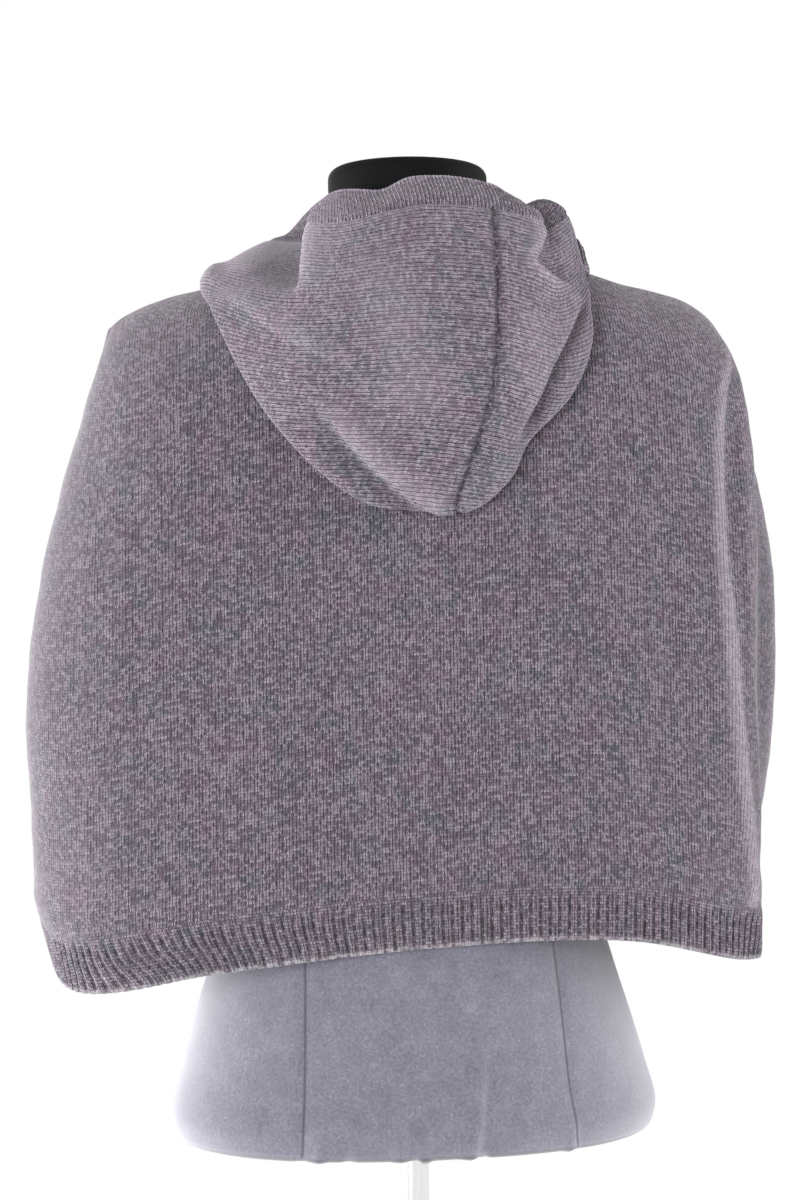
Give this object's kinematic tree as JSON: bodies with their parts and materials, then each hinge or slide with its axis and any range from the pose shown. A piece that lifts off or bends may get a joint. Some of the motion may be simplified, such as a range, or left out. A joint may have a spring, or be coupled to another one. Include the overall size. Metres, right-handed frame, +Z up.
{
  "type": "hooded knit poncho on a dress form",
  "caption": "Hooded pullover poncho in soft knit with a ribbed hem, its hood folded down at the back, worn by a limbless dress form on a pole and a round base.",
  "frame": {"origin": "centre of the round base's underside, on the pole's axis", "axes": "+Z up along the pole, +Y towards the garment's back, +X towards the wearer's left"},
  "size_m": [0.562, 0.33, 1.4883],
  "materials": {
    "melange_knit": "soft fuzzy plain knit, mauve-grey melange",
    "melange_rib": "ribbed knit, mauve-grey melange",
    "heather_jersey": "smooth heather jersey cover",
    "black_cap": "satin black",
    "bright_chrome": "bright plated tube",
    "satin_steel": "satin steel plate"
  },
  "bodies": {
    "root": {"back_panel": "melange_knit", "front_panel": "melange_knit", "hem_rib_back": "melange_rib", "hem_rib_front": "melange_rib", "hood_right": "melange_knit", "hood_left": "melange_knit", "hood_band": "melange_rib", "form_torso": "heather_jersey", "form_neck_cap": "black_cap", "stand_pole": "bright_chrome", "stand_base": "satin_steel"}
  },
  "joints": []
}
